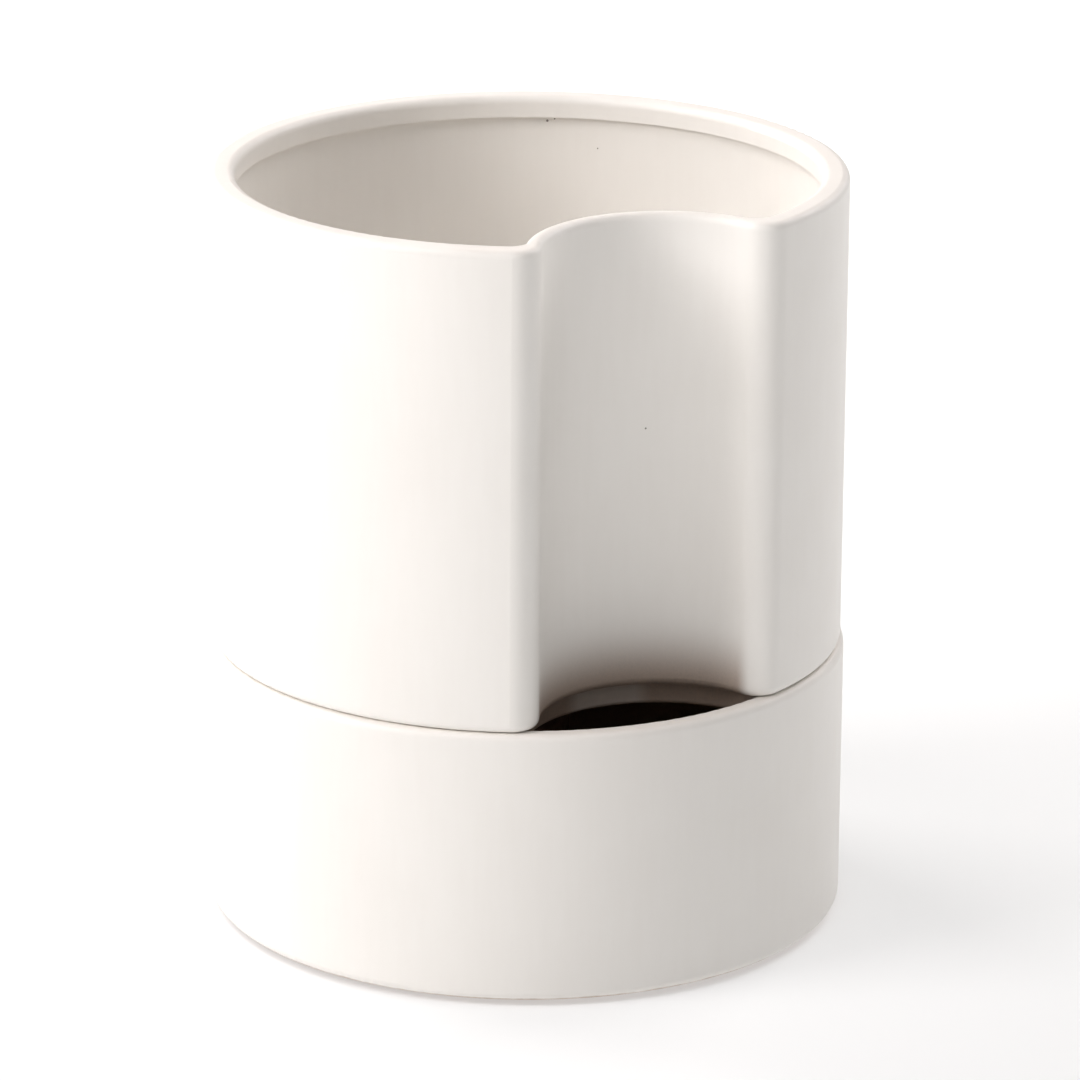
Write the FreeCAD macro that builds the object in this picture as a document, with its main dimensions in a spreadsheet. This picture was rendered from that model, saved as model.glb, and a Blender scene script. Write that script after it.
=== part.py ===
import FreeCAD, Part
import math
import os
import Sketcher

# A two-piece self-watering planter in glazed stoneware. The pot stands on the rim of a round reservoir, and a
# channel pushed into the pot's front (-Y) lets water in. Millimetres, +Z up, origin under the middle of the feet.

SIZES = [
    ("reservoir_radius", 100.0),
    ("reservoir_height", 86.0),
    ("reservoir_wall", 6.0),
    ("reservoir_floor", 7.0),
    ("foot_ring_width", 20.0),
    ("foot_recess", 1.5),
    ("pot_inset", 1.1),
    ("pot_height", 150.0),
    ("pot_wall", 6.5),
    ("pot_floor", 8.0),
    ("spigot_height", 7.2),
    ("spigot_clearance", 1.5),
    ("spigot_notch_inset", 4.2),
    ("spigot_rounding", 1.5),
    ("notch_radius", 37.3),
    ("notch_depth", 35.7),
    ("notch_wall", 5.5),
    ("notch_corner", 8.5),
    ("horn_rounding", 5.0),
    ("collar_depth", 2.0),
    ("collar_height", 7.0),
    ("rim_rounding", 2.5),
    ("base_rounding", 2.8),
    ("lip_rounding", 1.2),
    ("inside_rounding", 5.0),
    ("hole_rounding", 0.6),
    ("cup_radius", 22.0),
    ("cup_taper", 3.0),
    ("cup_wall", 3.0),
    ("cup_floor", 4.0),
    ("cup_clearance", 0.6),
    ("cup_floor_gap", 4.0),
    ("cup_rounding", 2.0),
    ("flange_width", 7.0),
    ("flange_thickness", 2.5),
    ("flange_rounding", 0.8),
    ("cup_hole_radius", 2.5),
    ("cup_hole_pitch", 24.0),
    ("cup_hole_rise", 12.0),
    ("screen_clearance", 1.6),
    ("screen_margin", 16.0),
    ("screen_thickness", 1.2),
    ("drain_hole_radius", 4.0),
    ("pad_radius", 6.0),
    ("pad_thickness", 1.5),
    ("pad_edge", 12.0),
]

# Sizes that follow from the driving ones.
POT_RADIUS = "(sizes.reservoir_radius - sizes.pot_inset)"
INNER_RADIUS = "(sizes.reservoir_radius - sizes.reservoir_wall)"
SPIGOT_RADIUS = f"({INNER_RADIUS} - sizes.spigot_clearance)"
CAVITY_RADIUS = f"({POT_RADIUS} - sizes.pot_wall)"
MOUTH_RADIUS = f"({CAVITY_RADIUS} - sizes.collar_depth)"
NOTCH_BACK = f"({POT_RADIUS} - sizes.notch_depth)"
NOTCH_CENTRE = f"({NOTCH_BACK} + sizes.notch_radius)"
CAVITY_NOTCH = "(sizes.notch_radius + sizes.notch_wall)"
CLEAR_FRONT = f"({NOTCH_BACK} - sizes.notch_wall)"
CUP_OFFSET = f"(({MOUTH_RADIUS} - {CLEAR_FRONT}) / 2)"
CLEAR_RADIUS = f"(({MOUTH_RADIUS} + {CLEAR_FRONT}) / 2)"
JOINT_HEIGHT = "(sizes.pad_thickness + sizes.reservoir_height)"
FLOOR_TOP = "(sizes.pot_floor - sizes.spigot_height)"
CUP_DEPTH = f"(sizes.reservoir_height - sizes.reservoir_floor - sizes.cup_floor_gap + {FLOOR_TOP})"
FLANGE_RADIUS = "(sizes.cup_radius + sizes.flange_width)"
SCREEN_INNER = f"({FLANGE_RADIUS} + sizes.screen_clearance)"
SCREEN_OUTER = f"({CLEAR_RADIUS} - sizes.screen_margin)"
DRAIN_RING = f"(({SCREEN_INNER} + {SCREEN_OUTER}) / 2)"

# Roundings that a thin wall limits.
POT_RIM_ROUNDING = "min(sizes.rim_rounding; sizes.notch_wall * 0.46)"
BOWL_RIM_ROUNDING = "min(sizes.rim_rounding; sizes.reservoir_wall * 0.45)"
LIP_ROUNDING = "min(sizes.lip_rounding; sizes.reservoir_wall * 0.25)"

DRAIN_HOLES = 6
CUP_HOLES_ROUND = 6
CUP_HOLE_ROWS = 2
PADS = 4
CLOSE = 1e-3

doc = FreeCAD.newDocument("planter")
sheet = doc.addObject("Spreadsheet::Sheet", "sizes")
for row, (alias, size) in enumerate(SIZES, start=1):
    sheet.set(f"A{row}", alias)
    sheet.set(f"B{row}", str(size))
    sheet.setAlias(f"B{row}", alias)
doc.recompute()


def value(expression):
    """The number that an expression on the sheet gives."""
    return float(sheet.evalExpression(expression))


# ---------------------------------------------------------------- bodies and sketches

def new_body(name):
    """An empty body whose label names its file."""
    body = doc.addObject("PartDesign::Body", name)
    body.Label = name
    return body


def origin_feature(body, role):
    """The body's own origin plane or axis with this role."""
    return next(item for item in body.Origin.OriginFeatures if item.Role == role)


def new_sketch(body, name, role="XY_Plane", height=None):
    """A sketch on one of the body's origin planes, raised by an expression."""
    sketch = body.newObject("Sketcher::SketchObject", name)
    sketch.AttachmentSupport = [(origin_feature(body, role), "")]
    sketch.MapMode = "FlatFace"
    if height is not None:
        sketch.setExpression(".AttachmentOffset.Base.z", height)
    return sketch


def bind(sketch, constraint, expression):
    """Adds a constraint of one size and binds it to the sheet."""
    index = sketch.addConstraint(constraint)
    sketch.setExpression(f"Constraints[{index}]", expression)


def circle_sketch(body, name, radius, height=None, centre=None, role="XY_Plane"):
    """A circle on the sketch's origin, or centre up its vertical axis."""
    sketch = new_sketch(body, name, role, height)
    rise = value(centre) if centre else 0.0
    shape = Part.Circle(FreeCAD.Vector(0, rise, 0), FreeCAD.Vector(0, 0, 1), value(radius))
    circle = sketch.addGeometry(shape)
    if centre:
        sketch.addConstraint(Sketcher.Constraint("PointOnObject", circle, 3, -2))
        bind(sketch, Sketcher.Constraint("DistanceY", -1, 1, circle, 3, rise), centre)
    else:
        sketch.addConstraint(Sketcher.Constraint("Coincident", circle, 3, -1, 1))
    bind(sketch, Sketcher.Constraint("Radius", circle, value(radius)), radius)
    return sketch


def crescent_sketch(body, name, outer, notch, corner, height=None):
    """A disc with the channel's circle bitten out of its front and its two corners rounded."""
    sketch = new_sketch(body, name, "XY_Plane", height)
    outer_radius = value(outer)
    notch_radius = value(notch)
    corner_radius = value(corner)
    distance = value(NOTCH_CENTRE)
    # A corner's centre lies inside the disc and outside the bite, one corner radius from each circle.
    from_middle = outer_radius - corner_radius
    from_notch = notch_radius + corner_radius
    reach = (from_middle**2 + distance**2 - from_notch**2) / (2 * distance)
    side = math.sqrt(from_middle**2 - reach**2)
    outer_angle = math.atan2(-reach, side)
    notch_angle = math.atan2(distance - reach, side)
    half_turn = math.pi

    def arc(x, y, radius, start, end):
        circle = Part.Circle(FreeCAD.Vector(x, y, 0), FreeCAD.Vector(0, 0, 1), radius)
        return sketch.addGeometry(Part.ArcOfCircle(circle, start, end))

    drum = arc(0, 0, outer_radius, outer_angle, half_turn - outer_angle)
    bite = arc(0, -distance, notch_radius, notch_angle, half_turn - notch_angle)
    right = arc(side, -reach, corner_radius, notch_angle - half_turn, outer_angle)
    left = arc(-side, -reach, corner_radius, -half_turn - outer_angle, -notch_angle)
    sketch.addConstraint(Sketcher.Constraint("Coincident", drum, 3, -1, 1))
    sketch.addConstraint(Sketcher.Constraint("PointOnObject", bite, 3, -2))
    sketch.addConstraint(Sketcher.Constraint("Tangent", drum, 1, right, 2))
    sketch.addConstraint(Sketcher.Constraint("Tangent", right, 1, bite, 1))
    sketch.addConstraint(Sketcher.Constraint("Tangent", bite, 2, left, 2))
    sketch.addConstraint(Sketcher.Constraint("Tangent", left, 1, drum, 2))
    bind(sketch, Sketcher.Constraint("DistanceY", bite, 3, -1, 1, distance), NOTCH_CENTRE)
    bind(sketch, Sketcher.Constraint("Radius", drum, outer_radius), outer)
    bind(sketch, Sketcher.Constraint("Radius", bite, notch_radius), notch)
    bind(sketch, Sketcher.Constraint("Radius", right, corner_radius), corner)
    bind(sketch, Sketcher.Constraint("Radius", left, corner_radius), corner)
    return sketch


def profile_sketch(body, name, corners):
    """A closed outline in the XZ plane; each corner is a pair of expressions, across and up, or 0 on an axis."""
    sketch = new_sketch(body, name, "XZ_Plane")
    points = [FreeCAD.Vector(value(across), value(up), 0) for across, up in corners]
    count = len(points)
    for index, point in enumerate(points):
        sketch.addGeometry(Part.LineSegment(point, points[(index + 1) % count]))
    for index in range(count):
        sketch.addConstraint(Sketcher.Constraint("Coincident", index, 2, (index + 1) % count, 1))
    for index, (across, up) in enumerate(corners):
        if across == "0":
            sketch.addConstraint(Sketcher.Constraint("PointOnObject", index, 1, -2))
        else:
            bind(sketch, Sketcher.Constraint("DistanceX", -1, 1, index, 1, points[index].x), across)
        if up == "0":
            sketch.addConstraint(Sketcher.Constraint("PointOnObject", index, 1, -1))
        else:
            bind(sketch, Sketcher.Constraint("DistanceY", -1, 1, index, 1, points[index].y), up)
    return sketch


# ---------------------------------------------------------------- features

def pad(body, name, sketch, length, down=False):
    """Raises a sketch into a solid, or lowers it below its plane."""
    feature = body.newObject("PartDesign::Pad", name)
    feature.Profile = sketch
    feature.setExpression("Length", length)
    feature.Reversed = down
    doc.recompute()
    return feature


def pocket(body, name, sketch, length, up=False):
    """Cuts a sketch down into the solid, or up from its plane."""
    before = body.Shape.Volume
    feature = body.newObject("PartDesign::Pocket", name)
    feature.Profile = sketch
    feature.setExpression("Length", length)
    feature.Reversed = up
    doc.recompute()
    if body.Shape.Volume >= before - CLOSE:
        raise RuntimeError(f"{name} cuts nothing")
    return feature


def ring_of(body, name, feature, axis, count):
    """Repeats a feature evenly round an axis."""
    pattern = body.newObject("PartDesign::PolarPattern", name)
    pattern.Originals = [feature]
    pattern.Axis = axis
    pattern.Angle = 360
    pattern.Occurrences = count
    body.Tip = pattern
    doc.recompute()
    return pattern


def fillet(body, name, picks, radius):
    """Rounds the edges of the body's tip that the test picks."""
    base = body.Tip
    edges = [f"Edge{index}" for index, edge in enumerate(base.Shape.Edges, start=1) if picks(base.Shape, edge)]
    if not edges:
        raise RuntimeError(f"{name} finds no edge")
    feature = body.newObject("PartDesign::Fillet", name)
    feature.Base = (base, edges)
    feature.setExpression("Radius", radius)
    doc.recompute()
    if feature.Shape.isNull() or not feature.isValid():
        raise RuntimeError(f"{name} fails")
    return feature


def level_edges(height):
    """Picks every edge that lies flat at this height."""
    level = value(height)

    def picks(_, edge):
        box = edge.BoundBox
        return abs(box.ZMin - level) < CLOSE and abs(box.ZMax - level) < CLOSE
    return picks


def wall_edges(height):
    """Picks the flat edges at this height where an upright wall meets a level face."""
    flat = level_edges(height)

    def picks(shape, edge):
        if not flat(shape, edge):
            return False
        faces = shape.ancestorsOfType(edge, Part.Face)
        return any(isinstance(face.Surface, Part.Cylinder) for face in faces)
    return picks


def hole_edges(radius, *heights):
    """Picks full circles of one radius at these heights."""
    size = value(radius)
    levels = [value(height) for height in heights]

    def picks(_, edge):
        whole = edge.isClosed() and abs(edge.Length - 2 * math.pi * size) < CLOSE
        return whole and any(abs(edge.BoundBox.ZMin - level) < CLOSE for level in levels)
    return picks


# ---------------------------------------------------------------- pieces

def make_reservoir():
    """The bowl that holds the water, with a foot ring under it."""
    body = new_body("reservoir")
    body.setExpression(".Placement.Base.z", "sizes.pad_thickness")
    outside = circle_sketch(body, "bowl_outline", "sizes.reservoir_radius")
    pad(body, "bowl", outside, "sizes.reservoir_height")
    fillet(body, "bowl_rim_rounding", level_edges("sizes.reservoir_height"), BOWL_RIM_ROUNDING)
    fillet(body, "bowl_base_rounding", level_edges("0"), "sizes.base_rounding")
    inside = circle_sketch(body, "inside_outline", INNER_RADIUS, "sizes.reservoir_height")
    pocket(body, "inside", inside, "sizes.reservoir_height - sizes.reservoir_floor")
    fillet(body, "lip_rounding_inside", wall_edges("sizes.reservoir_height"), LIP_ROUNDING)
    fillet(body, "inside_floor_rounding", wall_edges("sizes.reservoir_floor"), "sizes.inside_rounding")
    under = circle_sketch(body, "recess_outline", "sizes.reservoir_radius - sizes.foot_ring_width")
    pocket(body, "foot_recess_cut", under, "sizes.foot_recess", up=True)
    return body


def shape_pot_outside(body):
    """The pot's outer form: a drum with the channel down its front, and the spigot under it."""
    outline = crescent_sketch(body, "drum_outline", POT_RADIUS, "sizes.notch_radius", "sizes.notch_corner")
    pad(body, "drum", outline, "sizes.pot_height")
    fillet(body, "drum_base_rounding", level_edges("0"), "sizes.base_rounding")
    fillet(body, "drum_rim_rounding", level_edges("sizes.pot_height"), POT_RIM_ROUNDING)
    spigot_notch = "sizes.notch_radius + sizes.spigot_notch_inset"
    spigot = crescent_sketch(body, "spigot_outline", SPIGOT_RADIUS, spigot_notch, "sizes.horn_rounding")
    pad(body, "spigot", spigot, "sizes.spigot_height", down=True)
    fillet(body, "spigot_base_rounding", level_edges("-sizes.spigot_height"), "sizes.spigot_rounding")


def hollow_pot(body):
    """The planting space, wider under the rim collar."""
    mouth = crescent_sketch(
        body, "mouth_outline", MOUTH_RADIUS, CAVITY_NOTCH, "sizes.horn_rounding", "sizes.pot_height")
    pocket(body, "mouth", mouth, f"sizes.pot_height - {FLOOR_TOP}")
    under_collar = "sizes.pot_height - sizes.collar_height"
    cavity = crescent_sketch(
        body, "cavity_outline", CAVITY_RADIUS, CAVITY_NOTCH, "sizes.horn_rounding", under_collar)
    pocket(body, "cavity", cavity, f"{under_collar} - {FLOOR_TOP}")
    fillet(body, "mouth_rounding", wall_edges("sizes.pot_height"), POT_RIM_ROUNDING)
    fillet(body, "planting_floor_rounding", wall_edges(FLOOR_TOP), "sizes.inside_rounding")


def pierce_pot(body):
    """The seat hole for the wicking cup and the ring of drain and air holes round it."""
    seat_radius = "sizes.cup_radius + sizes.cup_clearance"
    seat = circle_sketch(body, "seat_outline", seat_radius, FLOOR_TOP, CUP_OFFSET)
    pocket(body, "seat_hole", seat, "sizes.pot_floor")
    middle = new_sketch(body, "drain_centre", "XY_Plane", FLOOR_TOP)
    middle.setExpression(".AttachmentOffset.Base.y", CUP_OFFSET)
    ring_place = f"{CUP_OFFSET} + {DRAIN_RING}"
    edge_hole = circle_sketch(body, "drain_outline", "sizes.drain_hole_radius", FLOOR_TOP, ring_place)
    drain = pocket(body, "drain_hole", edge_hole, "sizes.pot_floor")
    ring_of(body, "drain_holes", drain, (middle, ["N_Axis"]), DRAIN_HOLES)
    floors = (FLOOR_TOP, "-sizes.spigot_height")
    fillet(body, "seat_rounding", hole_edges(seat_radius, *floors), "sizes.hole_rounding")
    fillet(body, "drain_rounding", hole_edges("sizes.drain_hole_radius", *floors), "sizes.hole_rounding")


def make_pot():
    """The pot that stands on the reservoir."""
    body = new_body("planter_pot")
    body.setExpression(".Placement.Base.z", JOINT_HEIGHT)
    shape_pot_outside(body)
    hollow_pot(body)
    pierce_pot(body)
    return body


def make_wicking_cup():
    """The unglazed cup that hangs through the pot's floor into the water."""
    body = new_body("wicking_cup")
    body.setExpression(".Placement.Base.y", CUP_OFFSET)
    body.setExpression(".Placement.Base.z", f"{JOINT_HEIGHT} + {FLOOR_TOP}")
    base_radius = "(sizes.cup_radius - sizes.cup_taper)"
    outline = profile_sketch(body, "cup_outline", [
        ("0", f"-{CUP_DEPTH}"),
        (base_radius, f"-{CUP_DEPTH}"),
        ("sizes.cup_radius", "0"),
        (FLANGE_RADIUS, "0"),
        (FLANGE_RADIUS, "sizes.flange_thickness"),
        ("sizes.cup_radius - sizes.cup_wall", "sizes.flange_thickness"),
        (f"{base_radius} - sizes.cup_wall", f"sizes.cup_floor - {CUP_DEPTH}"),
        ("0", f"sizes.cup_floor - {CUP_DEPTH}"),
    ])
    turned = body.newObject("PartDesign::Revolution", "cup_form")
    turned.Profile = outline
    turned.ReferenceAxis = (origin_feature(body, "Z_Axis"), [""])
    turned.Angle = 360
    doc.recompute()
    fillet(body, "cup_base_rounding", level_edges(f"-{CUP_DEPTH}"), "sizes.cup_rounding")
    fillet(body, "flange_top_rounding", level_edges("sizes.flange_thickness"), "sizes.flange_rounding")
    for row in range(CUP_HOLE_ROWS):
        rise = f"sizes.cup_hole_rise + {row} * sizes.cup_hole_pitch - {CUP_DEPTH}"
        name = f"cup_hole_outline_{row + 1}"
        hole = circle_sketch(body, name, "sizes.cup_hole_radius", None, rise, "XZ_Plane")
        stagger = 180 / CUP_HOLES_ROUND * (row % 2)
        turn = FreeCAD.Rotation(FreeCAD.Vector(0, 1, 0), stagger)
        hole.AttachmentOffset = FreeCAD.Placement(FreeCAD.Vector(0, 0, 0), turn)
        cut = pocket(body, f"cup_hole_{row + 1}", hole, "sizes.cup_radius * 1.5")
        axis = (origin_feature(body, "Z_Axis"), [""])
        ring_of(body, f"cup_hole_row_{row + 1}", cut, axis, CUP_HOLES_ROUND)
    return body


def make_soil_screen():
    """The mesh ring that keeps soil out of the drain holes."""
    body = new_body("soil_screen")
    body.setExpression(".Placement.Base.y", CUP_OFFSET)
    body.setExpression(".Placement.Base.z", f"{JOINT_HEIGHT} + {FLOOR_TOP}")
    pad(body, "ring", circle_sketch(body, "ring_outline", SCREEN_OUTER), "sizes.screen_thickness")
    hole = circle_sketch(body, "ring_hole_outline", SCREEN_INNER, "sizes.screen_thickness")
    pocket(body, "ring_hole", hole, "sizes.screen_thickness")
    return body


def make_foot_pads():
    """The soft pads under the foot ring, as one group of separate discs."""
    body = new_body("foot_pads")
    body.AllowCompound = True
    outline = circle_sketch(body, "pad_outline", "sizes.pad_radius", None, "sizes.reservoir_radius - sizes.pad_edge")
    first = pad(body, "first_pad", outline, "sizes.pad_thickness")
    ring_of(body, "pads", first, (origin_feature(body, "Z_Axis"), [""]), PADS)
    return body


def check_document():
    """Stops the build if any object failed, or a shape is missing or broken."""
    for item in doc.Objects:
        if "Invalid" in item.State or "Error" in item.State:
            raise RuntimeError(f"{item.Name} failed: {item.State}")
    for body in pieces:
        if body.Shape.isNull() or not body.Shape.isValid() or not body.Shape.Solids:
            raise RuntimeError(f"{body.Label} has no sound shape")


pieces = [make_reservoir(), make_pot(), make_wicking_cup(), make_soil_screen(), make_foot_pads()]
doc.recompute()
check_document()
os.makedirs("parts", exist_ok=True)
for piece in pieces:
    piece.Shape.exportStep(f"parts/{piece.Label}.step")
    print(f"{piece.Label}: {len(piece.Shape.Solids)} solids, {piece.Shape.Volume / 1000:.1f} cm3")
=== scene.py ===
"""The looks of a two-piece self-watering planter in matte white stoneware.

A pot stands on the rim of a round reservoir. A channel pushed into the pot's front takes the water,
an unglazed cup carries it up to the soil, a woven screen keeps the soil out of the drain holes, and
soft pads sit under the reservoir's foot. The CAD bodies give the places and the shapes. This file
gives the finishes, the weave, the pads' soft edges and the studio.
"""

import logging
import math
from dataclasses import dataclass, field
from enum import Enum
from typing import Any

import bpy
from mathutils import Euler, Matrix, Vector


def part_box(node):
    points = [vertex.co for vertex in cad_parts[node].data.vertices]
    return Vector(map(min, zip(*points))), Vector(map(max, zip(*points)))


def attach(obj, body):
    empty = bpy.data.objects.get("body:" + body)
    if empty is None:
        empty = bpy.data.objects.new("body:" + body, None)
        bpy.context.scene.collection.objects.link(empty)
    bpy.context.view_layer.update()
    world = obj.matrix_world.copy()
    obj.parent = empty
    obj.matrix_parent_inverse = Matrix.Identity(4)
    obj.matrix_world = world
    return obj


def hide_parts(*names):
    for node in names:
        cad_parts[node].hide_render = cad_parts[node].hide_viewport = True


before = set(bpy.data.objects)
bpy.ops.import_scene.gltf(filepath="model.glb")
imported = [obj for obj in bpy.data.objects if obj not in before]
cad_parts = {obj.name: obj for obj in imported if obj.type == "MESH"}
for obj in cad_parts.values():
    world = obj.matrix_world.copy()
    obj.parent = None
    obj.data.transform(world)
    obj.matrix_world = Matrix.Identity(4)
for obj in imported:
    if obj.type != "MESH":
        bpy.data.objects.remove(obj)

LOG = logging.getLogger("planter")
MM = 0.001
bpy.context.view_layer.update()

Colour = tuple[float, float, float]
Range = tuple[float, float]
Socket = bpy.types.NodeSocket

WHITE: Colour = (1.0, 1.0, 1.0)
WARM_WHITE: Colour = (1.0, 0.966, 0.958)


def opaque(colour: Colour) -> tuple[float, float, float, float]:
    """The colour with a full alpha."""
    return (*colour, 1.0)


class MaskSide(Enum):
    """Which side of its level a band of bare clay or thin glaze lies on."""

    BELOW = -1
    ABOVE = 1


# ---------------------------------------------------------------- node trees


class Tree:
    """Lays out one node tree, a node and its links at a time."""

    def __init__(self, tree: bpy.types.NodeTree) -> None:
        """Keeps the tree.

        Args:
            tree: The shader or geometry tree to fill.
        """
        self.tree = tree

    def add(
        self, kind: str, inputs: dict[str | int, Any] | None = None, **settings: Any
    ) -> bpy.types.Node:
        """Adds a node.

        Args:
            kind: The node's type name.
            inputs: Its inputs by name or number, each a socket to link from or a plain value.
            settings: The node's own properties.

        Returns:
            The new node.
        """
        node = self.tree.nodes.new(kind)
        for name, setting in settings.items():
            setattr(node, name, setting)
        for key, given in (inputs or {}).items():
            if isinstance(given, Socket):
                self.tree.links.new(given, node.inputs[key])
            else:
                node.inputs[key].default_value = given
        return node

    def math(self, operation: str, *terms: Any, clamp: bool = False) -> Socket:
        """One sum or function of numbers or sockets.

        Args:
            operation: The Math node's operation.
            terms: Its numbers or sockets, in order.
            clamp: Whether the result is held between 0 and 1.

        Returns:
            The socket with the result.
        """
        inputs = dict(enumerate(terms))
        return self.add("ShaderNodeMath", inputs, operation=operation, use_clamp=clamp).outputs[0]


class ShaderTree(Tree):
    """The node tree of one material, with the pieces that finishes share."""

    def __init__(self, name: str) -> None:
        """Starts a material with its surface shader and its Object coordinates.

        Args:
            name: The material's name.
        """
        self.material = bpy.data.materials.new(name)
        self.material.use_nodes = True
        super().__init__(self.material.node_tree)
        self.tree.nodes.clear()
        self.surface = self.add("ShaderNodeBsdfPrincipled")
        self.add("ShaderNodeOutputMaterial", {"Surface": self.surface.outputs["BSDF"]})
        self.place = self.add("ShaderNodeTexCoord").outputs["Object"]
        axes = self.add("ShaderNodeSeparateXYZ", {0: self.place}).outputs
        self.across, self.along, self.height = axes

    def noise(
        self, size: float, detail: float = 2.0, roughness: float = 0.5, at: Socket | None = None
    ) -> Socket:
        """Soft random grain.

        Args:
            size: The grain's size in metres.
            detail: How many finer layers it has.
            roughness: How strong those are.
            at: Where it is read, or the piece's own place.

        Returns:
            A number about 0.5 all over the surface.
        """
        inputs = {"Scale": 1.0 / size, "Detail": detail, "Roughness": roughness}
        inputs["Vector"] = at or self.place
        return self.add("ShaderNodeTexNoise", inputs).outputs["Fac"]

    def radius(self) -> Socket:
        """The distance from the upright axis."""
        squares = [self.math("MULTIPLY", side, side) for side in (self.across, self.along)]
        return self.math("SQRT", self.math("ADD", *squares))

    def stretched(self, scale: tuple[float, float, float]) -> Socket:
        """The piece's place, with each axis scaled."""
        return self.add("ShaderNodeMapping", {"Vector": self.place, "Scale": scale}).outputs[0]

    def between(
        self, given: Socket, low: float, high: float, to_low: float = 0.0, to_high: float = 1.0
    ) -> Socket:
        """Eases a number from one range to another.

        Args:
            given: The number.
            low: Where the easing starts.
            high: Where it ends.
            to_low: The result at the start.
            to_high: The result at the end.

        Returns:
            The eased number.
        """
        inputs = {"From Min": low, "From Max": high, "To Min": to_low, "To Max": to_high}
        inputs["Value"] = given
        return self.add("ShaderNodeMapRange", inputs, interpolation_type="SMOOTHSTEP").outputs["Result"]

    def blend(self, share: Socket, low: Any, high: Any) -> Socket:
        """One colour fading into another.

        Args:
            share: 0 for the first colour, 1 for the second.
            low: The first colour, or its socket.
            high: The second colour, or its socket.

        Returns:
            The mixed colour.
        """
        node = self.add("ShaderNodeMix", data_type="RGBA")
        self.tree.links.new(share, node.inputs["Factor"])
        for socket, given in ((node.inputs[6], low), (node.inputs[7], high)):
            if isinstance(given, Socket):
                self.tree.links.new(given, socket)
            else:
                socket.default_value = opaque(given)
        return node.outputs[2]

    def relief(self, height: Socket, depth: float, under: Socket | None = None) -> Socket:
        """Raises the surface by a pattern.

        Args:
            height: The pattern, 0 to 1.
            depth: How deep it is, in metres.
            under: The relief that it lies on.

        Returns:
            The bent normal.
        """
        inputs: dict[str | int, Any] = {"Height": height, "Distance": depth, "Strength": 1.0}
        if under is not None:
            inputs["Normal"] = under
        return self.add("ShaderNodeBump", inputs).outputs[0]

    def drive(self, **sockets: Socket) -> None:
        """Links sockets to the surface shader's inputs, an underscore standing for a space."""
        for name, source in sockets.items():
            self.tree.links.new(source, self.surface.inputs[name.replace("_", " ")])


# ---------------------------------------------------------------- finishes


@dataclass(frozen=True)
class ClayBand:
    """A level at which the glaze stops or runs thin.

    Attributes:
        level: Its height in metres.
        side: Which side of the level is bare.
        fade: How far the glaze takes to thicken again, in metres.
        strength: How much of the clay shows, 0 to 1.
    """

    level: float
    side: MaskSide
    fade: float
    strength: float


@dataclass(frozen=True)
class InsideShade:
    """The inside of a bowl below its lip, clay-brown: painted shade of the dark hollow.

    Attributes:
        radius: The radius inside which it lies, in metres.
        level: The height under which it lies, in metres.
        strength: How much of the clay-brown painted shade shows, 0 to 1.
        fade: How far its edges take to fade, in metres.
    """

    radius: float
    level: float
    strength: float
    fade: float = 1 * MM


@dataclass(frozen=True)
class ThinGlazeAndShade:
    """Where the glaze runs thin at the foot of the channel and painted shade darkens it.

    Attributes:
        front: How far forward the channel's wall starts, in metres along Y.
        radius: The radius inside which the channel lies, in metres.
        foot: The height of the channel's foot in metres.
        reach: How far up the thin glaze and painted shade go, in metres.
        strength: How much of the clay colour shows at the foot, as thin glaze and painted shade, 0 to
            1.
        front_fade: How far it takes to fade behind the wall, in metres.
        radius_fade: How far it takes to fade towards the radius, in metres.
        curve: How fast it falls off upwards.
    """

    front: float
    radius: float
    foot: float
    reach: float
    strength: float
    front_fade: float = 4 * MM
    radius_fade: float = 5 * MM
    curve: float = 1.6


@dataclass(frozen=True)
class Pinhole:
    """A small break in the glaze.

    Attributes:
        place: Its middle, in metres.
        radius: Its radius in metres.
    """

    place: tuple[float, float, float]
    radius: float


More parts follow.
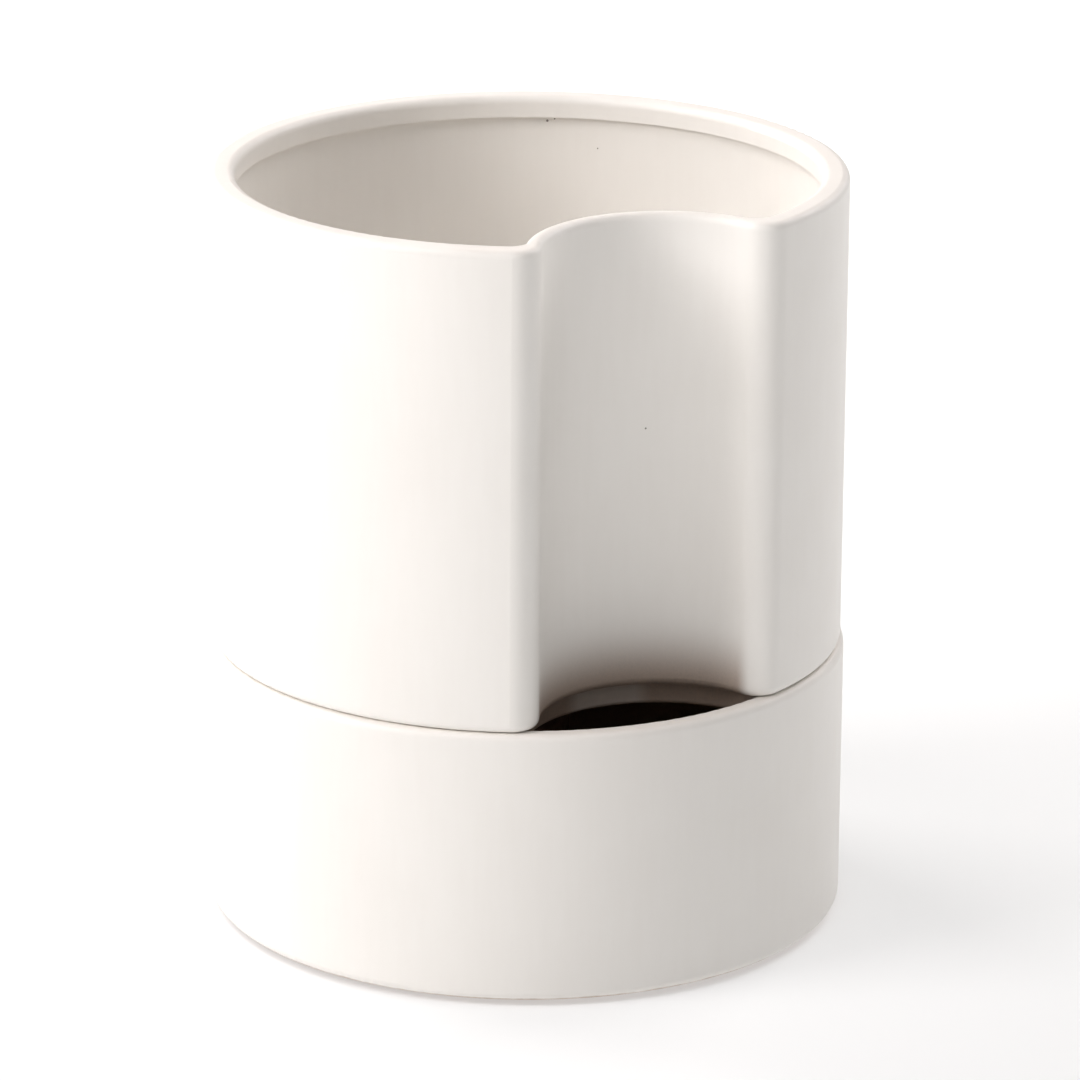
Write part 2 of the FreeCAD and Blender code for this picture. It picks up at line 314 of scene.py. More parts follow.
@dataclass(frozen=True)
class MatteGlaze:
    """Warm white satin-matte glaze over brown stoneware."""

    name: str
    bands: tuple[ClayBand, ...]
    inside_shade: InsideShade | None = None
    thin_glaze_and_shade: ThinGlazeAndShade | None = None
    pinholes: tuple[Pinhole, ...] = ()
    body: Colour = (0.905, 0.876, 0.832)
    thick: Colour = (0.924, 0.898, 0.856)
    # clay also colours painted shade: the reservoir's dark inside and the channel's foot.
    clay: Colour = (0.420, 0.290, 0.210)
    tone_range: Range = (0.30, 0.70)
    clay_grain: float = 0.7 * MM
    clay_range: Range = (0.35, 0.75)
    clay_shade: float = 0.82
    speck: Colour = (0.090, 0.072, 0.056)
    speck_core: float = 0.55
    speck_strength: float = 0.85
    edge_wander: float = 1.1 * MM
    wander_size: float = 7 * MM
    pool_size: float = 38 * MM
    pool_depth: float = 0.10 * MM
    streak_share: float = 0.35
    streak_squash: float = 0.12
    orange_peel: float = 2.6 * MM
    peel_depth: float = 0.010 * MM
    tooth: float = 0.30 * MM
    tooth_depth: float = 0.0035 * MM
    sheen_size: float = 9 * MM
    sheen_range: Range = (0.30, 0.70)
    sheen_low: float = 0.44
    sheen_high: float = 0.54
    clay_roughness: float = 0.35
    refraction: float = 1.48

    def band_share(self, tree: ShaderTree, band: ClayBand, level: Socket) -> Socket:
        """How much clay shows in one band.

        Args:
            tree: The material's tree.
            band: The band.
            level: The height, with the glaze's wandering edge.

        Returns:
            The share, 0 to 1.
        """
        end = band.level + band.side.value * band.fade
        if band.side is MaskSide.ABOVE:
            return tree.between(level, band.level, end, 0.0, band.strength)
        return tree.between(level, end, band.level, band.strength, 0.0)

    def inside_shade_share(self, tree: ShaderTree, inside_shade: InsideShade, level: Socket) -> Socket:
        """How much clay-brown painted shade shows inside the bowl.

        Args:
            tree: The material's tree.
            inside_shade: The bowl's inside.
            level: The height, with the glaze's wandering edge.

        Returns:
            The share, 0 to 1.
        """
        start = inside_shade.radius - inside_shade.fade
        within = tree.between(tree.radius(), start, inside_shade.radius, inside_shade.strength, 0.0)
        below = tree.between(level, inside_shade.level - inside_shade.fade, inside_shade.level, 1.0, 0.0)
        return tree.math("MULTIPLY", within, below)

    def thin_glaze_and_shade_share(self, tree: ShaderTree, place: ThinGlazeAndShade) -> Socket:
        """How much clay colour shows at the channel's foot, as thin glaze and painted shade.

        Args:
            tree: The material's tree.
            place: Where that is.

        Returns:
            The share, 0 to 1.
        """
        ahead = tree.between(tree.along, place.front, place.front + place.front_fade, 1.0, 0.0)
        within = tree.between(tree.radius(), place.radius - place.radius_fade, place.radius, 1.0, 0.0)
        # Painted shade and thin glaze: the clay colour grows towards the channel's foot.
        fall = tree.between(tree.height, place.foot, place.foot + place.reach, 1.0, 0.0)
        soft = tree.math("MULTIPLY", tree.math("POWER", fall, place.curve), place.strength)
        return tree.math("MULTIPLY", soft, tree.math("MULTIPLY", ahead, within))

    def speck_share(self, tree: ShaderTree, pinhole: Pinhole) -> Socket:
        """How much of the dark speck shows in one pinhole.

        Args:
            tree: The material's tree.
            pinhole: The pinhole's facts.

        Returns:
            The share, 0 to 1.
        """
        inputs = {0: tree.place, 1: pinhole.place}
        away = tree.add("ShaderNodeVectorMath", inputs, operation="DISTANCE").outputs["Value"]
        core = pinhole.radius * self.speck_core
        return tree.between(away, core, pinhole.radius, self.speck_strength, 0.0)

    def bare(self, tree: ShaderTree) -> Socket:
        """How much clay colour shows: bare clay, thin glaze and painted shade.

        Args:
            tree: The material's tree.

        Returns:
            The largest share of all these places, 0 to 1.
        """
        drift = tree.math("SUBTRACT", tree.noise(self.wander_size, 3.0), 0.5)
        level = tree.math("ADD", tree.height, tree.math("MULTIPLY", drift, self.edge_wander))
        shares = [self.band_share(tree, band, level) for band in self.bands]
        if self.inside_shade:
            shares.append(self.inside_shade_share(tree, self.inside_shade, level))
        if self.thin_glaze_and_shade:
            shares.append(self.thin_glaze_and_shade_share(tree, self.thin_glaze_and_shade))
        shown = shares[0]
        for share in shares[1:]:
            shown = tree.math("MAXIMUM", shown, share)
        return shown

    def colour(self, tree: ShaderTree, broad: Socket, bare: Socket) -> Socket:
        """The surface's colour.

        Args:
            tree: The material's tree.
            broad: The pools of thicker glaze.
            bare: How much clay colour shows, as bare clay, thin glaze and painted shade.

        Returns:
            The colour.
        """
        streaks = tree.noise(self.orange_peel, 3.0, at=tree.stretched((1.0, 1.0, self.streak_squash)))
        pools = tree.math("MULTIPLY", broad, 1.0 - self.streak_share)
        tone = tree.math("ADD", pools, tree.math("MULTIPLY", streaks, self.streak_share))
        glaze = tree.blend(tree.between(tone, *self.tone_range), self.body, self.thick)
        grains = tree.between(tree.noise(self.clay_grain, 3.0, 0.7), *self.clay_range)
        shaded = tuple(channel * self.clay_shade for channel in self.clay)
        # Clay colour over the glaze: bare clay, thin glaze and painted shade.
        colour = tree.blend(bare, glaze, tree.blend(grains, self.clay, shaded))
        for pinhole in self.pinholes:
            colour = tree.blend(self.speck_share(tree, pinhole), colour, self.speck)
        return colour

    def build(self) -> bpy.types.Material:
        """Makes the material.

        Returns:
            The material.
        """
        tree = ShaderTree(self.name)
        broad = tree.noise(self.pool_size, 2.0)
        bare = self.bare(tree)
        cloud = tree.noise(self.sheen_size, 3.0)
        sheen = tree.between(cloud, *self.sheen_range, self.sheen_low, self.sheen_high)
        rough = tree.math("ADD", sheen, tree.math("MULTIPLY", bare, self.clay_roughness), clamp=True)
        pools = tree.relief(broad, self.pool_depth)
        peel = tree.relief(tree.noise(self.orange_peel, 2.0), self.peel_depth, pools)
        tooth = tree.relief(tree.noise(self.tooth, 2.0, 0.6), self.tooth_depth, peel)
        tree.drive(Base_Color=self.colour(tree, broad, bare), Roughness=rough, Normal=tooth)
        tree.surface.inputs["IOR"].default_value = self.refraction
        return tree.material


@dataclass(frozen=True)
class BareClayInPaintedShade:
    """Porous unglazed clay with fine turning rings, its browns darkened by painted shade."""

    name: str = "bare_clay"
    patch_size: float = 14 * MM
    patch_range: Range = (0.35, 0.65)
    grit_size: float = 0.9 * MM
    grit_range: Range = (0.60, 0.72)
    bloom_size: float = 6 * MM
    bloom_range: Range = (0.58, 0.80)
    bloom_strength: float = 0.55
    # body, dry and grit are darker than the clay's own brown: painted shade of the reservoir's hollow
    # that the cup stands in.
    body: Colour = (0.210, 0.150, 0.112)
    dry: Colour = (0.290, 0.212, 0.160)
    grit: Colour = (0.120, 0.082, 0.060)
    bloom: Colour = (0.420, 0.350, 0.290)
    ring_pitch: float = 1.9 * MM
    ring_depth: float = 0.030 * MM
    wander_size: float = 20 * MM
    wander_turn: float = 1.2
    grain: float = 0.55 * MM
    grain_depth: float = 0.035 * MM
    roughness: float = 0.88
    specular: float = 0.3

    def build(self) -> bpy.types.Material:
        """Makes the material.

        Returns:
            The material.
        """
        tree = ShaderTree(self.name)
        patches = tree.between(tree.noise(self.patch_size, 4.0, 0.6), *self.patch_range)
        colour = tree.blend(patches, self.body, self.dry)
        grit = tree.between(tree.noise(self.grit_size, 2.0, 0.7), *self.grit_range)
        colour = tree.blend(grit, colour, self.grit)
        cloud = tree.noise(self.bloom_size, 5.0, 0.7)
        bloom = tree.between(cloud, *self.bloom_range, 0.0, self.bloom_strength)
        colour = tree.blend(bloom, colour, self.bloom)
        wander = tree.math("MULTIPLY", tree.noise(self.wander_size, 1.0), self.wander_turn)
        turns = tree.math("MULTIPLY", tree.height, 2.0 * math.pi / self.ring_pitch)
        rings = tree.math("SINE", tree.math("ADD", turns, wander))
        turned = tree.relief(tree.math("MULTIPLY_ADD", rings, 0.5, 0.5), self.ring_depth)
        grain = tree.relief(tree.noise(self.grain, 4.0, 0.7), self.grain_depth, turned)
        tree.drive(Base_Color=colour, Normal=grain)
        tree.surface.inputs["Roughness"].default_value = self.roughness
        tree.surface.inputs["Specular IOR Level"].default_value = self.specular
        return tree.material


@dataclass(frozen=True)
class NylonStrand:
    """Dark nylon monofilament and the moulded rim that binds it."""

    name: str = "mesh"
    body: Colour = (0.014, 0.016, 0.015)
    worn: Colour = (0.045, 0.048, 0.044)
    roughness_low: float = 0.34
    roughness_high: float = 0.52
    sheen_range: Range = (0.30, 0.70)
    dust_size: float = 5 * MM
    dust_range: Range = (0.45, 0.75)
    grain: float = 0.6 * MM
    grain_depth: float = 0.012 * MM

    def build(self) -> bpy.types.Material:
        """Makes the material.

        Returns:
            The material.
        """
        tree = ShaderTree(self.name)
        dust = tree.noise(self.dust_size, 4.0, 0.6)
        tree.drive(
            Base_Color=tree.blend(tree.between(dust, *self.dust_range), self.body, self.worn),
            Roughness=tree.between(dust, *self.sheen_range, self.roughness_low, self.roughness_high),
            Normal=tree.relief(tree.noise(self.grain, 2.0), self.grain_depth),
        )
        return tree.material


@dataclass(frozen=True)
class SoftPad:
    """Cloudy grey silicone."""

    name: str = "pad"
    body: Colour = (0.420, 0.405, 0.375)
    cloud: Colour = (0.520, 0.505, 0.470)
    cloud_size: float = 4 * MM
    cloud_range: Range = (0.35, 0.65)
    grain: float = 0.5 * MM
    grain_depth: float = 0.015 * MM
    roughness: float = 0.55
    scatter: float = 0.25
    scatter_reach: float = 1.5 * MM

    def build(self) -> bpy.types.Material:
        """Makes the material.

        Returns:
            The material.
        """
        tree = ShaderTree(self.name)
        clouds = tree.between(tree.noise(self.cloud_size, 3.0), *self.cloud_range)
        tree.drive(
            Base_Color=tree.blend(clouds, self.body, self.cloud),
            Normal=tree.relief(tree.noise(self.grain, 2.0), self.grain_depth),
        )
        tree.surface.inputs["Roughness"].default_value = self.roughness
        tree.surface.inputs["Subsurface Weight"].default_value = self.scatter
        tree.surface.inputs["Subsurface Scale"].default_value = self.scatter_reach
        return tree.material


@dataclass(frozen=True)
class SweepPaper:
    """Plain pale studio paper, lit a little more towards the back."""

    name: str = "sweep"
    body: Colour = (0.50, 0.50, 0.50)
    near: float = 0.25
    far: float = 1.15
    near_glow: float = 0.47
    far_glow: float = 0.63
    roughness: float = 0.95
    specular: float = 0.1

    def build(self) -> bpy.types.Material:
        """Makes the material.

        Returns:
            The material.
        """
        tree = ShaderTree(self.name)
        tree.surface.inputs["Base Color"].default_value = opaque(self.body)
        tree.surface.inputs["Roughness"].default_value = self.roughness
        tree.surface.inputs["Specular IOR Level"].default_value = self.specular
        tree.surface.inputs["Emission Color"].default_value = opaque(WHITE)
        glow = tree.between(tree.radius(), self.near, self.far, self.near_glow, self.far_glow)
        tree.drive(Emission_Strength=glow)
        return tree.material


# ---------------------------------------------------------------- glazed pieces


def dress(node: str, material: bpy.types.Material) -> bpy.types.Object:
    """Gives a CAD node its finish.

    Args:
        node: The CAD node's name.
        material: The finish.

    Returns:
        The node's object.
    """
    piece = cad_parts[node]
    if not piece.material_slots:
        piece.data.materials.append(material)
    for holder in piece.material_slots:
        holder.material = material
    return piece


@dataclass
class PlanterPot:
    """The pot, glazed but for its spigot."""

    node: str = "planter_pot"
    spigot_height: float = 7.2 * MM
    channel_back: float = -62.0 * MM
    channel_radius: float = 94.0 * MM
    # The channel's foot turns clay colour: thin glaze, and painted shade over the dark hollow below.
    thin_glaze_and_shade_reach: float = 26.0 * MM
    thin_glaze_and_shade_strength: float = 0.78
    ledge_lap: float = 0.3 * MM
    ledge_strength: float = 0.42
    bare_foot: float = 0.9 * MM
    foot_line: float = 0.9 * MM
    rim_line: float = 1.1 * MM
    rim_strength: float = 0.10
    pinholes: tuple[Pinhole, ...] = (
        Pinhole((43.3 * MM, 81.6 * MM, 228.9 * MM), 0.50 * MM),
        Pinhole((45.4 * MM, 80.5 * MM, 229.6 * MM), 0.32 * MM),
        Pinhole((57.1 * MM, 72.6 * MM, 220.4 * MM), 0.30 * MM),
        Pinhole((10.1 * MM, -64.6 * MM, 170.4 * MM), 0.36 * MM),
    )

    def build(self) -> list[bpy.types.Object]:
        """Dresses the pot.

        Returns:
            The pieces made.
        """
        low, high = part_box(self.node)
        ledge = low.z + self.spigot_height
        bands = (
            ClayBand(ledge + self.ledge_lap, MaskSide.BELOW, self.foot_line, self.ledge_strength),
            ClayBand(low.z + self.bare_foot, MaskSide.BELOW, self.foot_line, 1.0),
            ClayBand(high.z - self.rim_line, MaskSide.ABOVE, self.rim_line, self.rim_strength),
        )
        thin_glaze_and_shade = ThinGlazeAndShade(
            front=self.channel_back,
            radius=self.channel_radius,
            foot=ledge,
            reach=self.thin_glaze_and_shade_reach,
            strength=self.thin_glaze_and_shade_strength,
        )
        glaze = MatteGlaze("pot_glaze", bands, thin_glaze_and_shade=thin_glaze_and_shade, pinholes=self.pinholes)
        return [dress(self.node, glaze.build())]


@dataclass
class Reservoir:
    """The round water reservoir, with bare clay under its foot and clay-brown painted shade inside."""

    node: str = "reservoir"
    inside_shade_radius: float = 96.5 * MM
    inside_shade_strength: float = 0.80
    lip_glaze: float = 2.2 * MM
    bare_foot: float = 1.3 * MM
    foot_line: float = 1.2 * MM
    rim_line: float = 1.0 * MM
    rim_strength: float = 0.10

    def build(self) -> list[bpy.types.Object]:
        """Dresses the reservoir.

        Returns:
            The pieces made.
        """
        low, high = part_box(self.node)
        bands = (
            ClayBand(low.z + self.bare_foot, MaskSide.BELOW, self.foot_line, 1.0),
            ClayBand(high.z - self.rim_line, MaskSide.ABOVE, self.rim_line, self.rim_strength),
        )
        # Painted shade: clay brown inside the reservoir below the lip, where its closed hollow lies in
        # shade.
        inside_shade = InsideShade(self.inside_shade_radius, high.z - self.lip_glaze, self.inside_shade_strength)
        glaze = MatteGlaze("reservoir_glaze", bands, inside_shade)
        return [dress(self.node, glaze.build())]


@dataclass
class WickingCup:
    """The unglazed cup that stands in the water."""

    node: str = "wicking_cup"

    def build(self) -> list[bpy.types.Object]:
        """Dresses the cup.

        Returns:
            The pieces made.
        """
        return [dress(self.node, BareClayInPaintedShade().build())]


# ---------------------------------------------------------------- pieces that Geometry Nodes make


class GeometryTree(Tree):
    """A Geometry Nodes tree with named sizes, grown into a plain mesh."""

    def __init__(self, name: str, sizes: dict[str, float], material: bpy.types.Material) -> None:
        """Starts the tree and its named inputs.

        Args:
            name: The tree's name.
            sizes: Its inputs, in metres or as counts.
            material: The finish of what it makes.
        """
        super().__init__(bpy.data.node_groups.new(name, "GeometryNodeTree"))
        self.sizes = sizes
        self.material = material
        interface = self.tree.interface
        interface.new_socket("Geometry", in_out="OUTPUT", socket_type="NodeSocketGeometry")
        self.identifiers: dict[str, str] = {}
        for size, value in sizes.items():
            kind = "NodeSocketInt" if isinstance(value, int) else "NodeSocketFloat"
            socket = interface.new_socket(size, in_out="INPUT", socket_type=kind)
            self.identifiers[size] = socket.identifier
        self.given = self.add("NodeGroupInput").outputs

    def size(self, name: str) -> Socket:
        """The socket of a named input."""
        return self.given[name]

    def vector(self, x: Any = 0.0, y: Any = 0.0, z: Any = 0.0) -> Socket:
        """Three numbers or sockets as one vector."""
        return self.add("ShaderNodeCombineXYZ", {0: x, 1: y, 2: z}).outputs[0]

    def line(self, count: Socket, start: Socket, step: Socket, along_x: bool) -> Socket:
        """A straight row of points through the axis.

        Args:
            count: How many points it has.
            start: Where the first one stands.
            step: The distance from one to the next.
            along_x: Whether it runs along X, or along Y.

        Returns:
            The row as edges.
        """
        axis = "x" if along_x else "y"
        inputs = {
            "Count": count,
            "Start Location": self.vector(**{axis: start}),
            "Offset": self.vector(**{axis: step}),
        }
        return self.add("GeometryNodeMeshLine", inputs, mode="OFFSET", count_mode="TOTAL").outputs[0]

    def join(self, *parts: Socket) -> Socket:
        """Puts several geometries together.

        Args:
            parts: The geometries.

        Returns:
            All of them as one.
        """
        node = self.add("GeometryNodeJoinGeometry")
        for part in parts:
            self.tree.links.new(part, node.inputs[0])
        return node.outputs[0]

    def grow(self, name: str, result: Socket) -> bpy.types.Object:
        """Ends the tree and turns what it makes into a plain mesh.

        Args:
            name: The piece's name.
            result: The geometry to keep.

        Returns:
            The piece, at the origin, with no modifier left.
        """
        real = self.add("GeometryNodeRealizeInstances", {0: result}).outputs[0]
        inputs = {"Geometry": real, "Material": self.material}
        painted = self.add("GeometryNodeSetMaterial", inputs).outputs[0]
        self.add("NodeGroupOutput", {0: painted})
        holder = bpy.data.objects.new(name, bpy.data.meshes.new(name + "_seed"))
        bpy.context.scene.collection.objects.link(holder)
        modifier = holder.modifiers.new("grow", "NODES")
        modifier.node_group = self.tree
        for size, value in self.sizes.items():
            modifier[self.identifiers[size]] = value
        evaluated = holder.evaluated_get(bpy.context.evaluated_depsgraph_get())
        mesh = bpy.data.meshes.new_from_object(evaluated)
        holder.modifiers.remove(modifier)
        holder.data = mesh
        mesh.name = name
        return holder


def shade_smooth(piece: bpy.types.Object, crease: float) -> None:
    """Smooths a mesh's shading up to its creases.

    Args:
        piece: The piece.
        crease: The angle in degrees past which an edge stays sharp.
    """
    piece.data.shade_smooth()
    piece.data.set_sharp_from_angle(angle=math.radians(crease))


@dataclass
class SoilScreen:
    """A ring of plain-woven nylon bound at both edges."""

    node: str = "soil_screen"
    hole_radius: float = 30.6 * MM
    pitch: float = 2.4 * MM
    strand_radius: float = 0.26 * MM
    strand_sides: int = 5
    steps_per_crossing: int = 3
    band_width: float = 2.2 * MM
    band_height: float = 1.1 * MM
    band_corner: float = 0.4
    corner_steps: int = 3
    band_turns: int = 120
    crease: float = 50.0

    def laid_lines(self, tree: GeometryTree, along_x: bool) -> Socket:
        """Straight lines of points, one for each strand of a set.

        Args:
            tree: The screen's tree.
            along_x: Whether the strands run along X, or along Y.

        Returns:
            The lines as edges.
        """
        count, reach, pitch = tree.size("Strands"), tree.size("Reach"), tree.size("Pitch")
        points = tree.math("MULTIPLY", count, float(self.steps_per_crossing))
        back = tree.math("MULTIPLY", reach, -1.0)
        length = tree.math("MULTIPLY", reach, 2.0)
        step = tree.math("DIVIDE", length, tree.math("SUBTRACT", points, 1.0))
        first = tree.math("MULTIPLY", tree.math("MULTIPLY", self.middle(tree), pitch), -1.0)
        line = tree.line(points, back, step, along_x)
        row = tree.line(count, first, pitch, not along_x)
        laid = tree.add("GeometryNodeInstanceOnPoints", {"Points": row, "Instance": line}).outputs[0]
        return tree.add("GeometryNodeRealizeInstances", {0: laid}).outputs[0]

    def middle(self, tree: GeometryTree) -> Socket:
        """How many pitches lie between the first strand and the screen's middle."""
        return tree.math("MULTIPLY", tree.math("SUBTRACT", tree.size("Strands"), 1.0), 0.5)

    def lift(self, tree: GeometryTree, run: Socket, side: Socket, sign: float) -> Socket:
        """How high a strand stands as it passes over and under the others.

        Args:
            tree: The screen's tree.
            run: The place along the strand.
            side: The place across it.
            sign: 1 for the first set of strands, -1 for the second.

        Returns:
            The height over the middle of the weave.
        """
        half = tree.math("MULTIPLY", self.middle(tree), math.pi)
        turns = []
        for place in (run, side):
            pitches = tree.math("DIVIDE", place, tree.size("Pitch"))
            turns.append(tree.math("ADD", tree.math("MULTIPLY", pitches, math.pi), half))
        wave = tree.math("MULTIPLY", *(tree.math("COSINE", turn) for turn in turns))
        return tree.math("MULTIPLY", tree.math("MULTIPLY", wave, tree.size("Strand radius")), sign)

    def strands(self, tree: GeometryTree, along_x: bool) -> Socket:
        """One of the weave's two sets of strands, trimmed to the ring.

        Args:
            tree: The screen's tree.
            along_x: Whether the strands run along X, or along Y.

        Returns:
            The strands as a mesh.
        """
        point = tree.add("GeometryNodeInputPosition").outputs[0]
        x, y, _ = tree.add("ShaderNodeSeparateXYZ", {0: point}).outputs
        run, side, sign = (x, y, 1.0) if along_x else (y, x, -1.0)
        offset = tree.vector(z=self.lift(tree, run, side, sign))
        lines = self.laid_lines(tree, along_x)
        waved = tree.add("GeometryNodeSetPosition", {"Geometry": lines, "Offset": offset}).outputs[0]
        squares = [tree.math("MULTIPLY", place, place) for place in (x, y)]
        out = tree.math("SQRT", tree.math("ADD", *squares))
        edge = tree.math("MULTIPLY", tree.size("Band width"), 0.5)
        outside = tree.math("GREATER_THAN", out, tree.math("SUBTRACT", tree.size("Outer radius"), edge))
        inside = tree.math("LESS_THAN", out, tree.math("ADD", tree.size("Hole radius"), edge))
        cut = {"Geometry": waved, "Selection": tree.math("MAXIMUM", outside, inside)}
        kept = tree.add("GeometryNodeDeleteGeometry", cut, domain="POINT", mode="ALL").outputs[0]
        paths = tree.add("GeometryNodeMeshToCurve", {"Mesh": kept}).outputs[0]
        shape = {"Resolution": self.strand_sides, "Radius": tree.size("Strand radius")}
        section = tree.add("GeometryNodeCurvePrimitiveCircle", shape, mode="RADIUS").outputs[0]
        inputs = {"Curve": paths, "Profile Curve": section, "Fill Caps": True}
        return tree.add("GeometryNodeCurveToMesh", inputs).outputs[0]

    def band(self, tree: GeometryTree, radius: Socket) -> Socket:
        """A moulded rim round one edge of the weave.

        Args:
            tree: The screen's tree.
            radius: The radius of the rim's middle line.

        Returns:
            The rim as a mesh.
        """
        circle = {"Resolution": self.band_turns, "Radius": radius}
        ring = tree.add("GeometryNodeCurvePrimitiveCircle", circle, mode="RADIUS").outputs[0]
        sides = {"Width": tree.size("Band width"), "Height": tree.size("Band height")}
        shape = tree.add("GeometryNodeCurvePrimitiveQuadrilateral", sides, mode="RECTANGLE").outputs[0]
        rounding = self.band_height * self.band_corner
        corner = {"Curve": shape, "Radius": rounding, "Count": self.corner_steps}
        soft = tree.add("GeometryNodeFilletCurve", corner, mode="POLY").outputs[0]
        return tree.add("GeometryNodeCurveToMesh", {"Curve": ring, "Profile Curve": soft}).outputs[0]

    def build(self) -> list[bpy.types.Object]:
        """Weaves the screen and sets it on the pot's floor.

        Returns:
            The pieces made.
        """
        low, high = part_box(self.node)
        centre = (low + high) / 2
        outer = (high.x - low.x) / 2
        count = int(2 * outer / self.pitch) // 2 * 2
        sizes = {
            "Strands": count,
            "Reach": (count - 1) / 2 * self.pitch,
            "Pitch": self.pitch,
            "Strand radius": self.strand_radius,
            "Outer radius": outer,
            "Hole radius": self.hole_radius,
            "Band width": self.band_width,
            "Band height": self.band_height,
        }
        tree = GeometryTree("screen_weave", sizes, NylonStrand().build())
        half = tree.math("MULTIPLY", tree.size("Band width"), 0.5)
        outer_middle = tree.math("SUBTRACT", tree.size("Outer radius"), half)
        inner_middle = tree.math("ADD", tree.size("Hole radius"), half)
        parts = (self.strands(tree, True), self.strands(tree, False))
        woven = tree.join(*parts, self.band(tree, outer_middle), self.band(tree, inner_middle))
        inputs = {"Geometry": woven, "Translation": centre}
        piece = tree.grow("woven_screen", tree.add("GeometryNodeTransform", inputs).outputs[0])
        shade_smooth(piece, self.crease)
        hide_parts(self.node)
        return [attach(piece, "soil_screen")]


@dataclass
class FootPads:
    """Soft discs with rounded edges under the foot ring."""

    node: str = "foot_pads"
    pads: int = 4
    radius: float = 6.0 * MM
    rounding: float = 0.5 * MM
    ring_radius: float = 88.0 * MM
    turns: int = 48
    edge_steps: int = 5
    crease: float = 40.0

    def disc(self, thickness: float) -> bpy.types.Object:
        """One pad standing on the origin.

        Args:
            thickness: Its thickness in metres.

        Returns:
            The pad as a hidden source piece.
        """
        quarter = [math.pi / 2 * step / (self.edge_steps - 1) for step in range(self.edge_steps)]
        turns = [2 * math.pi * turn / self.turns for turn in range(self.turns)]
        outline = []
        for angle in quarter:
            reach = self.radius - self.rounding * (1 - math.sin(angle))
            outline.append((reach, self.rounding * (1 - math.cos(angle))))
        for angle in quarter:
            reach = self.radius - self.rounding * (1 - math.cos(angle))
            outline.append((reach, thickness - self.rounding * (1 - math.sin(angle))))
        points = [(0.0, 0.0, 0.0), (0.0, 0.0, thickness)]
        for radius, height in outline:
            for angle in turns:
                points.append((radius * math.cos(angle), radius * math.sin(angle), height))
        starts = [2 + ring * self.turns for ring in range(len(outline))]
        faces = []
        for turn in range(self.turns):
            after = (turn + 1) % self.turns
            faces.append((0, starts[0] + after, starts[0] + turn))
            faces.append((1, starts[-1] + turn, starts[-1] + after))
            for here, over in zip(starts, starts[1:]):
                faces.append((here + turn, here + after, over + after, over + turn))
        mesh = bpy.data.meshes.new("pad_disc")
        mesh.from_pydata(points, [], faces)
        return bpy.data.objects.new("pad_disc", mesh)

    def build(self) -> list[bpy.types.Object]:
        """Sets the pads in a ring.

        Returns:
            The pieces made.
        """
        low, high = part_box(self.node)
        source = self.disc(high.z - low.z)
        sizes = {"Pads": self.pads, "Ring radius": self.ring_radius}
        tree = GeometryTree("pad_ring", sizes, SoftPad().build())
        circle = {"Vertices": tree.size("Pads"), "Radius": tree.size("Ring radius")}
        ring = tree.add("GeometryNodeMeshCircle", circle).outputs[0]
        disc = tree.add("GeometryNodeObjectInfo", {"Object": source}).outputs["Geometry"]
        inputs = {"Points": ring, "Instance": disc}
        piece = tree.grow("foot_pad_discs", tree.add("GeometryNodeInstanceOnPoints", inputs).outputs[0])
        bpy.data.objects.remove(source)
        shade_smooth(piece, self.crease)
        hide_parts(self.node)
        return [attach(piece, "reservoir")]


# ---------------------------------------------------------------- studio


@dataclass(frozen=True)
class SoftLight:
    """A square soft box that faces the planter.

    Attributes:
        name: The light's name.
        azimuth: Degrees to the right of the camera, seen from above.
        elevation: Degrees above the floor.
        distance: Metres from the planter's middle.
        side: The box's side in metres.
        power: Watts.
        colour: Its colour.
    """

    name: str
    azimuth: float
    elevation: float
    distance: float
    side: float
    power: float
    colour: Colour = WARM_WHITE


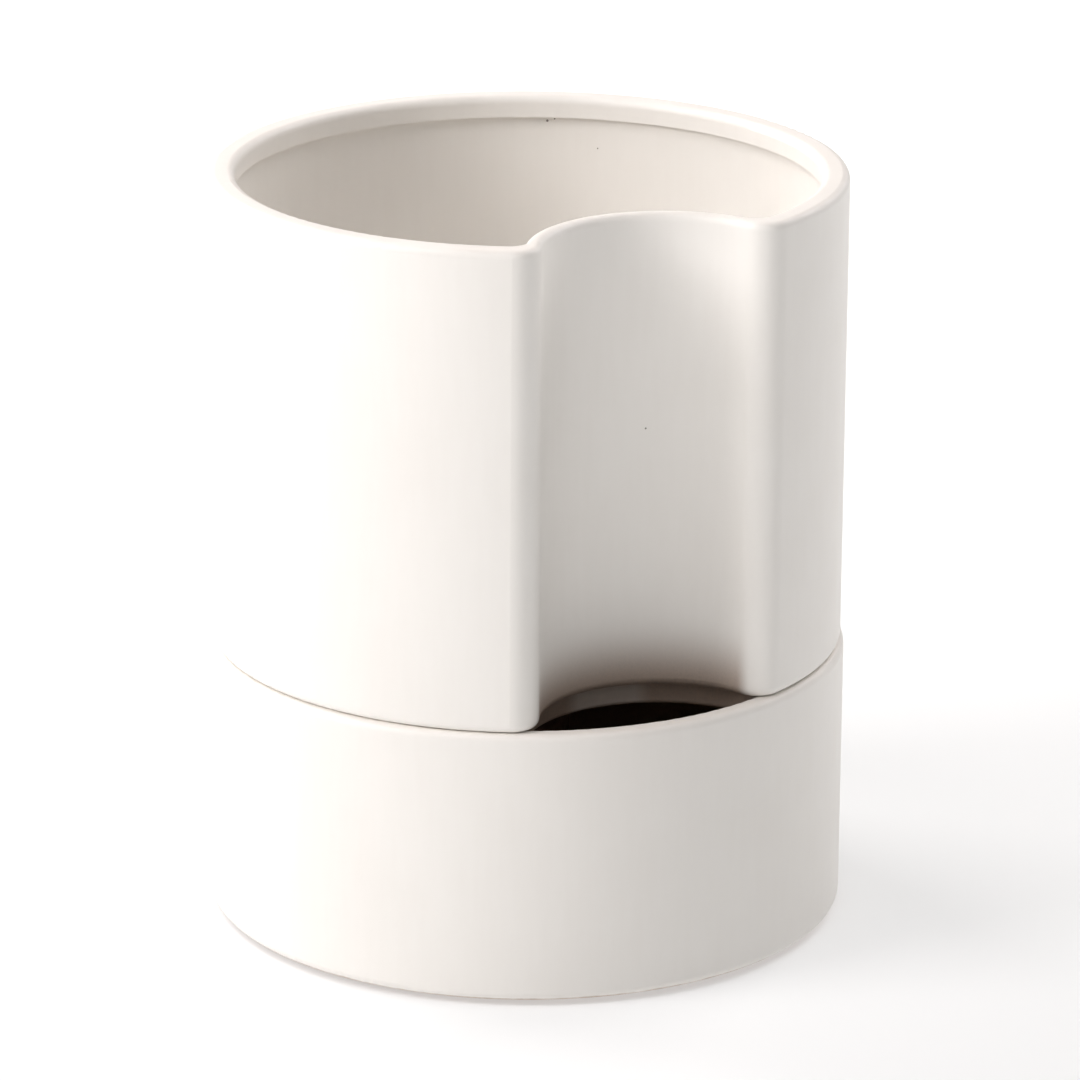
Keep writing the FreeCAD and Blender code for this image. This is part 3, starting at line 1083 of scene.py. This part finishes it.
@dataclass
class Studio:
    """The camera, the lights and the sweep of paper."""

    camera_azimuth: float = -24.3
    camera_distance: float = 1.80289
    camera_height: float = 0.70763
    camera_pitch: float = 18.146
    camera_yaw: float = 0.1323
    camera_roll: float = 0.36
    lens: float = 201.5
    sensor: float = 36.0
    clip_near: float = 0.1
    clip_far: float = 60.0
    floor_half: float = 9.0
    target: Vector = field(default_factory=lambda: Vector((0.0, 0.0, 0.13)))
    lights: tuple[SoftLight, ...] = (
        SoftLight("key", -67.0, 30.0, 1.7, 0.75, 15.2),
        SoftLight("front", 0.0, 45.0, 2.0, 1.2, 3.8),
        SoftLight("front_high", 10.0, 68.0, 2.0, 1.0, 4.4),
        SoftLight("left_high", -60.0, 62.0, 2.0, 1.0, 10.8),
        SoftLight("back_right", 135.0, 35.0, 2.0, 1.2, 20.0),
        SoftLight("back_left", -130.0, 35.0, 2.0, 1.2, 27.0),
    )
    horizon_glow: float = 0.62
    horizon_low: float = 0.03
    horizon_high: float = 0.22
    ceiling_glow: float = 0.02

    def place_camera(self) -> bpy.types.Object:
        """Stands the camera before the planter.

        Returns:
            The camera.
        """
        data = bpy.data.cameras.new("camera")
        data.sensor_width = self.sensor
        data.lens = self.lens
        data.clip_start, data.clip_end = self.clip_near, self.clip_far
        camera = bpy.data.objects.new("camera", data)
        turn = math.radians(self.camera_azimuth)
        reach = self.camera_distance
        camera.location = (math.sin(turn) * reach, -math.cos(turn) * reach, self.camera_height)
        heading = Euler((0.0, 0.0, turn - math.radians(self.camera_yaw))).to_matrix()
        tilt = Euler((math.radians(90.0 - self.camera_pitch), 0.0, 0.0)).to_matrix()
        roll = Euler((0.0, 0.0, math.radians(self.camera_roll))).to_matrix()
        camera.rotation_euler = (heading @ tilt @ roll).to_euler()
        bpy.context.scene.collection.objects.link(camera)
        bpy.context.scene.camera = camera
        return camera

    def hang_light(self, light: SoftLight) -> bpy.types.Object:
        """Hangs one soft box.

        Args:
            light: The soft box's facts.

        Returns:
            The light.
        """
        data = bpy.data.lights.new(light.name, "AREA")
        data.shape = "SQUARE"
        data.size = light.side
        data.energy = light.power
        data.color = light.colour
        lamp = bpy.data.objects.new(light.name, data)
        turn = math.radians(self.camera_azimuth + light.azimuth)
        rise = math.radians(light.elevation)
        level = math.cos(rise)
        away = Vector((math.sin(turn) * level, -math.cos(turn) * level, math.sin(rise)))
        lamp.location = self.target + away * light.distance
        lamp.rotation_euler = away.to_track_quat("Z", "Y").to_euler()
        bpy.context.scene.collection.objects.link(lamp)
        return lamp

    def lay_floor(self) -> bpy.types.Object:
        """Lays the paper that the planter stands on.

        Returns:
            The floor.
        """
        half = self.floor_half
        mesh = bpy.data.meshes.new("floor")
        corners = [(-half, -half, 0.0), (half, -half, 0.0), (half, half, 0.0), (-half, half, 0.0)]
        mesh.from_pydata(corners, [], [(0, 1, 2, 3)])
        mesh.materials.append(SweepPaper().build())
        floor = bpy.data.objects.new("floor", mesh)
        bpy.context.scene.collection.objects.link(floor)
        return floor

    def fill_sky(self) -> None:
        """Gives the room a pale horizon that fades to a dim ceiling."""
        world = bpy.data.worlds.new("room")
        world.use_nodes = True
        tree = Tree(world.node_tree)
        tree.tree.nodes.clear()
        towards = tree.add("ShaderNodeTexCoord").outputs["Generated"]
        inputs = {
            "Value": tree.add("ShaderNodeSeparateXYZ", {0: towards}).outputs["Z"],
            "From Min": self.horizon_low,
            "From Max": self.horizon_high,
            "To Min": self.horizon_glow,
            "To Max": self.ceiling_glow,
        }
        fade = tree.add("ShaderNodeMapRange", inputs, interpolation_type="SMOOTHSTEP").outputs["Result"]
        background = tree.add("ShaderNodeBackground", {"Color": opaque(WHITE), "Strength": fade})
        tree.add("ShaderNodeOutputWorld", {"Surface": background.outputs[0]})
        bpy.context.scene.world = world

    def build(self) -> None:
        """Sets the studio up."""
        settings = bpy.context.scene.view_settings
        settings.view_transform = "Standard"
        settings.look = "None"
        self.place_camera()
        self.lay_floor()
        self.fill_sky()
        for light in self.lights:
            self.hang_light(light)
        LOG.info("studio: camera, floor and %d soft boxes", len(self.lights))


def main() -> None:
    """Builds every piece in order, then the studio."""
    logging.basicConfig(level=logging.INFO, format="%(name)s: %(message)s")
    for assembly in (PlanterPot(), Reservoir(), WickingCup(), SoilScreen(), FootPads()):
        for piece in assembly.build():
            LOG.info("%s: %s, %d faces", type(assembly).__name__, piece.name, len(piece.data.polygons))
    Studio().build()


if __name__ == "__main__":
    main()
